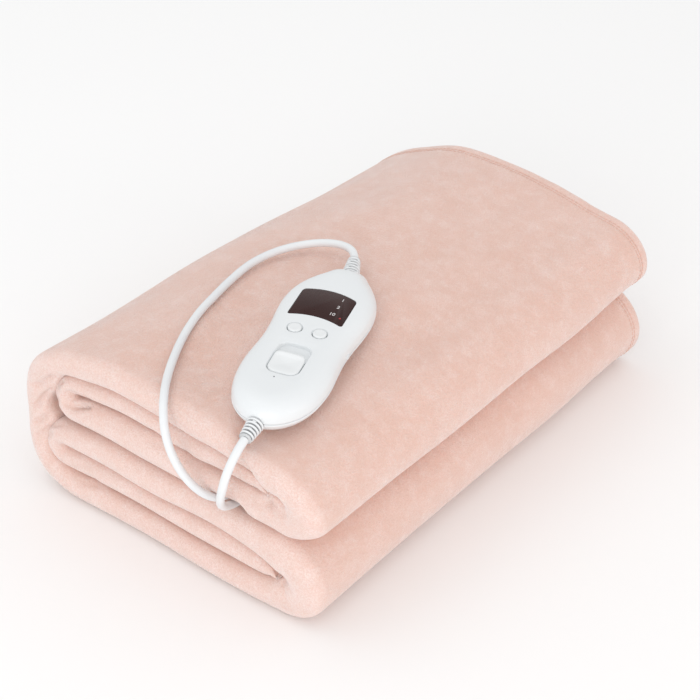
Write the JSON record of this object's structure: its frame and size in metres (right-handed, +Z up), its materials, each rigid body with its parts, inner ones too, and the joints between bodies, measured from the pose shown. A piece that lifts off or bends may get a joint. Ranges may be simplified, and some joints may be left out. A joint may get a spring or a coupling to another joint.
{
  "type": "electric underblanket",
  "caption": "Plush heated underblanket folded into a stack, with a wired hand controller on top and its mains lead and plug coiled behind.",
  "frame": {"origin": "under the middle of the folded cloth, on the surface it lies on", "axes": "+X towards the long side with the folds that face away from the spine fold, +Y towards the hemmed back edges, +Z up"},
  "size_m": [0.2412, 0.4495, 0.1398],
  "materials": {
    "plush": "short soft pile",
    "shell": "satin",
    "key": "satin",
    "window": "smoked gloss",
    "lead": "smooth flexible sheath",
    "pin": "bright nickel plate"
  },
  "bodies": {
    "underblanket": {"blanket": "plush", "controller_base": "shell", "controller_cover": "shell", "display_window": "window", "relief_lower": "lead", "relief_upper": "lead", "cloth_entry": "lead", "blanket_lead": "lead", "mains_lead": "lead", "mains_tail": "lead", "mains_coil": "lead", "coil_tie": "lead", "plug_body": "lead", "plug_relief": "lead", "plug_pin_near": "pin", "plug_pin_far": "pin"},
    "left_key": {"button_left": "key"},
    "right_key": {"button_right": "key"},
    "switch": {"power_switch": "key"}
  },
  "joints": [
    {"name": "left_press", "type": "slide", "parent": "underblanket", "child": "left_key", "axis": [-0.0698, 0, -0.9976], "range_m": [0, 0.001], "stiffness_N_per_m": 1000, "springref_m": -0.0005},
    {"name": "right_press", "type": "slide", "parent": "underblanket", "child": "right_key", "axis": [-0.0698, 0, -0.9976], "range_m": [0, 0.001], "stiffness_N_per_m": 1000, "springref_m": -0.0005},
    {"name": "switch_slide", "type": "slide", "parent": "underblanket", "child": "switch", "axis": [-0.3306, 0.9435, 0.0231], "range_m": [0, 0.008]}
  ]
}
